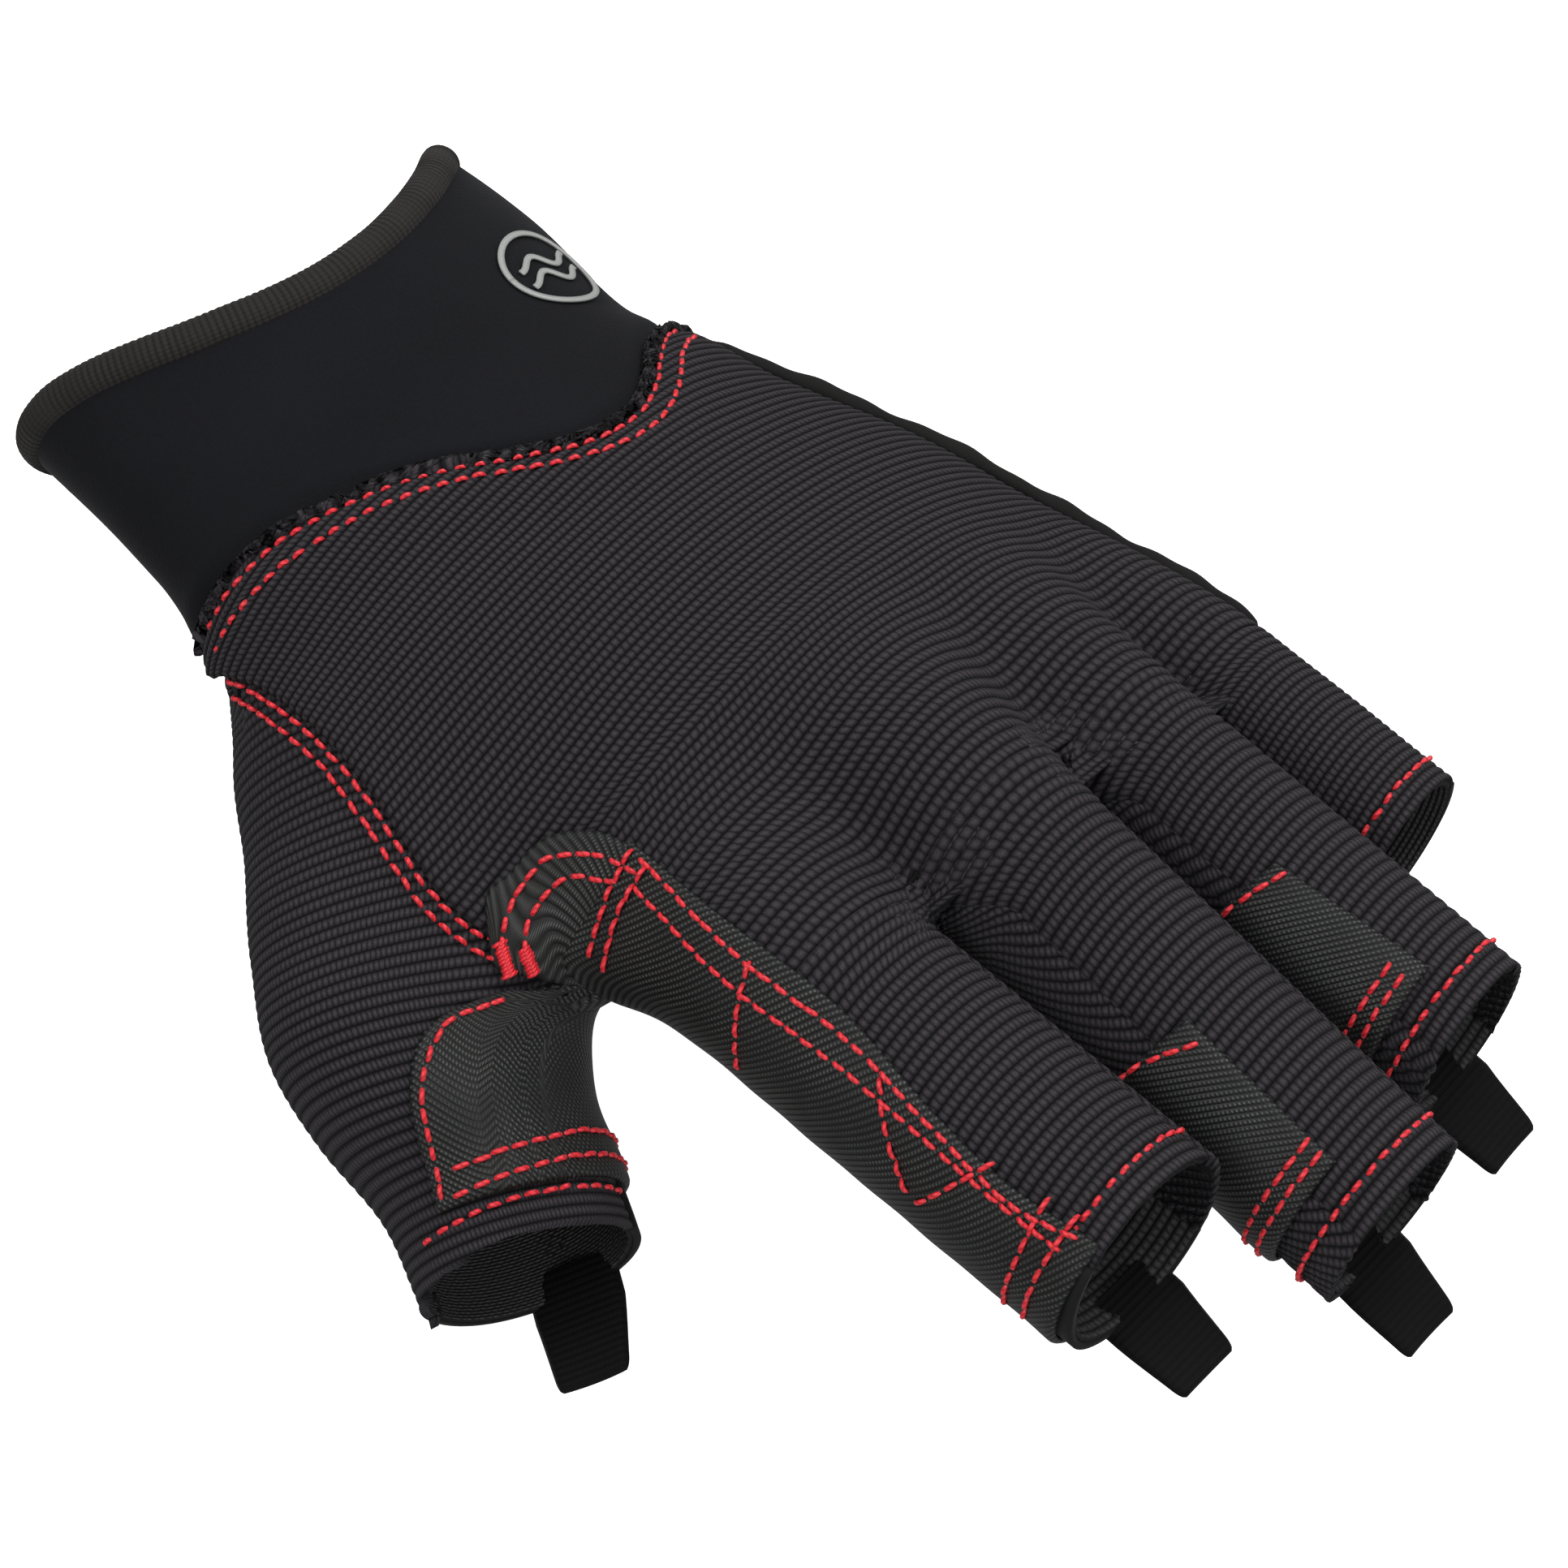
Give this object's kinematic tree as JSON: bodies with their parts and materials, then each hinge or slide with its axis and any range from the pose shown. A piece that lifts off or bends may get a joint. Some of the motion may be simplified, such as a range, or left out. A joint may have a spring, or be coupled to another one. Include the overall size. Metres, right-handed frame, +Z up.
{
  "type": "sailing glove",
  "caption": "Short-finger left sailing glove: neoprene cuff, ribbed knit back, twill-patched palm side, open finger stalls with webbing pull tabs that curl at the knuckles.",
  "frame": {"origin": "middle of the glove's underside, on the table it lies on", "axes": "+Y from the fingertips to the cuff, +Z up from the palm to the back of the hand, -X towards the thumb"},
  "size_m": [0.1392, 0.2006, 0.0515],
  "materials": {
    "knit": "charcoal ribbed stretch knit, matt",
    "palm": "black synthetic suede, matt",
    "twill": "hard-wearing coated diagonal twill, slightly satin",
    "neoprene": "smooth black-navy jersey on neoprene foam",
    "binding": "ribbed elastic binding tape",
    "webbing": "black woven webbing, doubled",
    "emblem": "thin grey heat-transfer film"
  },
  "bodies": {
    "hand": {"back_panel": "knit", "palm_panel": "palm", "palm_patch": "twill", "crotch_patch": "twill", "index_knuckle_knit": "knit", "middle_knuckle_knit": "knit", "ring_knuckle_knit": "knit", "little_knuckle_knit": "knit", "thumb_base_knit": "knit", "wrist_neoprene": "neoprene"},
    "cuff": {"cuff_neoprene": "neoprene", "cuff_binding": "binding", "cuff_emblem": "emblem"},
    "index": {"index_back": "knit", "index_palm": "palm", "index_ulnar_gusset": "knit", "index_wrap": "twill"},
    "middle": {"middle_back": "knit", "middle_palm": "palm", "middle_radial_gusset": "knit", "middle_ulnar_gusset": "knit", "middle_patch": "twill"},
    "ring": {"ring_back": "knit", "ring_palm": "palm", "ring_radial_gusset": "knit", "ring_ulnar_gusset": "knit", "ring_patch": "twill"},
    "little": {"little_back": "knit", "little_palm": "palm", "little_radial_gusset": "knit"},
    "thumb": {"thumb_back": "knit", "thumb_palm": "palm", "thumb_patch": "twill"},
    "index_tab": {"index_tab": "webbing"},
    "middle_tab": {"middle_tab": "webbing"},
    "ring_tab": {"ring_tab": "webbing"},
    "thumb_tab": {"thumb_tab": "webbing"}
  },
  "joints": [
    {"name": "wrist_bend", "type": "hinge", "parent": "hand", "child": "cuff", "pos_m": [0.00662, 0.0591, 0.02736], "axis": [0.9903, -0.015, -0.1384], "range_deg": [-25, 25], "stiffness_Nm_per_rad": 1, "deforming": ["wrist_neoprene"]},
    {"name": "index_curl", "type": "hinge", "parent": "hand", "child": "index", "pos_m": [-0.01467, -0.03333, 0.03756], "axis": [0.9902, -0.0064, -0.1393], "range_deg": [-15, 60], "stiffness_Nm_per_rad": 0.3, "deforming": ["index_knuckle_knit"]},
    {"name": "middle_curl", "type": "hinge", "parent": "hand", "child": "middle", "pos_m": [0.01284, -0.03353, 0.03573], "axis": [0.9901, 0.0041, -0.1404], "range_deg": [-15, 60], "stiffness_Nm_per_rad": 0.3, "deforming": ["middle_knuckle_knit"]},
    {"name": "ring_curl", "type": "hinge", "parent": "hand", "child": "ring", "pos_m": [0.03657, -0.03348, 0.02698], "axis": [0.9883, 0.0474, -0.1449], "range_deg": [-15, 60], "stiffness_Nm_per_rad": 0.3, "deforming": ["ring_knuckle_knit"]},
    {"name": "little_curl", "type": "hinge", "parent": "hand", "child": "little", "pos_m": [0.05716, -0.02892, 0.01342], "axis": [0.9865, 0.0717, -0.1472], "range_deg": [-15, 60], "stiffness_Nm_per_rad": 0.3, "deforming": ["little_knuckle_knit"]},
    {"name": "thumb_fold", "type": "hinge", "parent": "hand", "child": "thumb", "pos_m": [-0.0379, 0.01772, 0.01681], "axis": [-0.0657, -0.9978, -0.0032], "range_deg": [-20, 30], "stiffness_Nm_per_rad": 0.6, "deforming": ["thumb_base_knit"]},
    {"name": "index_tab_flap", "type": "hinge", "parent": "index", "child": "index_tab", "pos_m": [-0.01627, -0.07642, 0.0281], "axis": [0.9902, -0.0064, -0.1393], "range_deg": [-60, 60], "stiffness_Nm_per_rad": 0.004},
    {"name": "middle_tab_flap", "type": "hinge", "parent": "middle", "child": "middle_tab", "pos_m": [0.01044, -0.09141, 0.01709], "axis": [0.9901, 0.0041, -0.1404], "range_deg": [-60, 60], "stiffness_Nm_per_rad": 0.004},
    {"name": "ring_tab_flap", "type": "hinge", "parent": "ring", "child": "ring_tab", "pos_m": [0.03686, -0.08355, 0.01257], "axis": [0.9883, 0.0474, -0.1449], "range_deg": [-60, 60], "stiffness_Nm_per_rad": 0.004},
    {"name": "thumb_tab_flap", "type": "hinge", "parent": "thumb", "child": "thumb_tab", "pos_m": [-0.05359, -0.02265, 0.00329], "axis": [-0.7272, 0.4985, -0.4719], "range_deg": [-60, 60], "stiffness_Nm_per_rad": 0.004}
  ]
}
